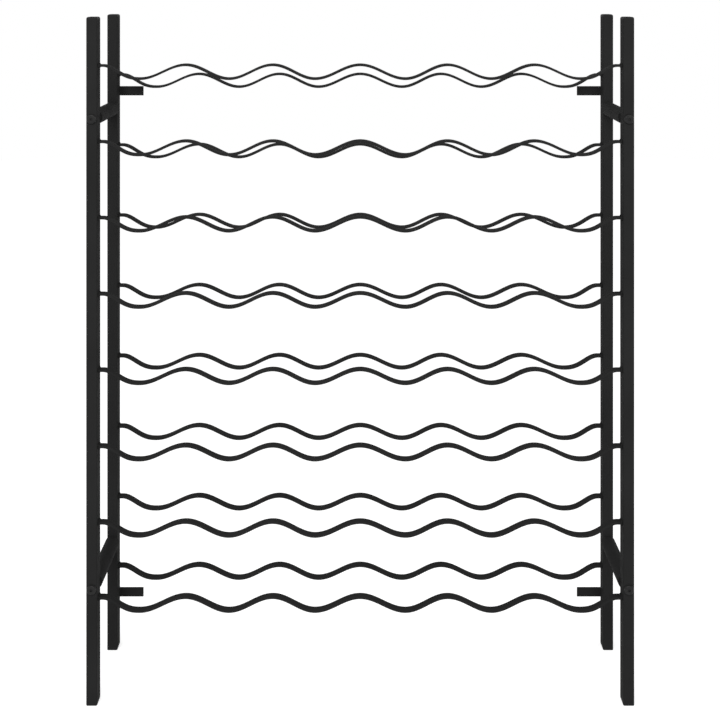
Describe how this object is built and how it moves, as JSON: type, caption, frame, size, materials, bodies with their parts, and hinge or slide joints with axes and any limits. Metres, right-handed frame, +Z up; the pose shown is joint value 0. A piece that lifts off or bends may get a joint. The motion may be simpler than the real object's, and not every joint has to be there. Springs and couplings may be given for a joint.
{
  "type": "wine rack",
  "caption": "Tall, shallow steel wine rack: rows of wavy bars between four uprights, with side rails, holding bottles lying down with their necks to the front.",
  "frame": {"origin": "on the floor, at the centre of the footprint", "axes": "+X to the right seen from the front, -Y towards the front where the bottle necks are, +Z up"},
  "size_m": [0.802, 0.1866, 1],
  "materials": {
    "powder_coat_black": "fine satin black powder coat on steel",
    "cap_plastic": "moulded black plastic",
    "bolt_black": "black oxide steel, slightly oily"
  },
  "bodies": {
    "root": {"front_wave_1": "powder_coat_black", "front_wave_2": "powder_coat_black", "front_wave_3": "powder_coat_black", "front_wave_4": "powder_coat_black", "front_wave_5": "powder_coat_black", "front_wave_6": "powder_coat_black", "front_wave_7": "powder_coat_black", "front_wave_8": "powder_coat_black", "rear_wave_1": "powder_coat_black", "rear_wave_2": "powder_coat_black", "rear_wave_3": "powder_coat_black", "rear_wave_4": "powder_coat_black", "rear_wave_5": "powder_coat_black", "rear_wave_6": "powder_coat_black", "rear_wave_7": "powder_coat_black", "rear_wave_8": "powder_coat_black", "post_front_left": "powder_coat_black", "top_cap_front_left": "cap_plastic", "foot_cap_front_left": "cap_plastic", "post_rear_left": "powder_coat_black", "top_cap_rear_left": "cap_plastic", "foot_cap_rear_left": "cap_plastic", "side_rail_lower_left": "powder_coat_black", "rail_insert_lower_front_left": "powder_coat_black", "bolt_lower_front_left": "bolt_black", "rail_insert_lower_rear_left": "powder_coat_black", "bolt_lower_rear_left": "bolt_black", "wall_tab_lower_left": "powder_coat_black", "side_rail_upper_left": "powder_coat_black", "rail_insert_upper_front_left": "powder_coat_black", "bolt_upper_front_left": "bolt_black", "rail_insert_upper_rear_left": "powder_coat_black", "bolt_upper_rear_left": "bolt_black", "wall_tab_upper_left": "powder_coat_black", "post_front_right": "powder_coat_black", "top_cap_front_right": "cap_plastic", "foot_cap_front_right": "cap_plastic", "post_rear_right": "powder_coat_black", "top_cap_rear_right": "cap_plastic", "foot_cap_rear_right": "cap_plastic", "side_rail_lower_right": "powder_coat_black", "rail_insert_lower_front_right": "powder_coat_black", "bolt_lower_front_right": "bolt_black", "rail_insert_lower_rear_right": "powder_coat_black", "bolt_lower_rear_right": "bolt_black", "wall_tab_lower_right": "powder_coat_black", "side_rail_upper_right": "powder_coat_black", "rail_insert_upper_front_right": "powder_coat_black", "bolt_upper_front_right": "bolt_black", "rail_insert_upper_rear_right": "powder_coat_black", "bolt_upper_rear_right": "bolt_black", "wall_tab_upper_right": "powder_coat_black"}
  },
  "joints": []
}
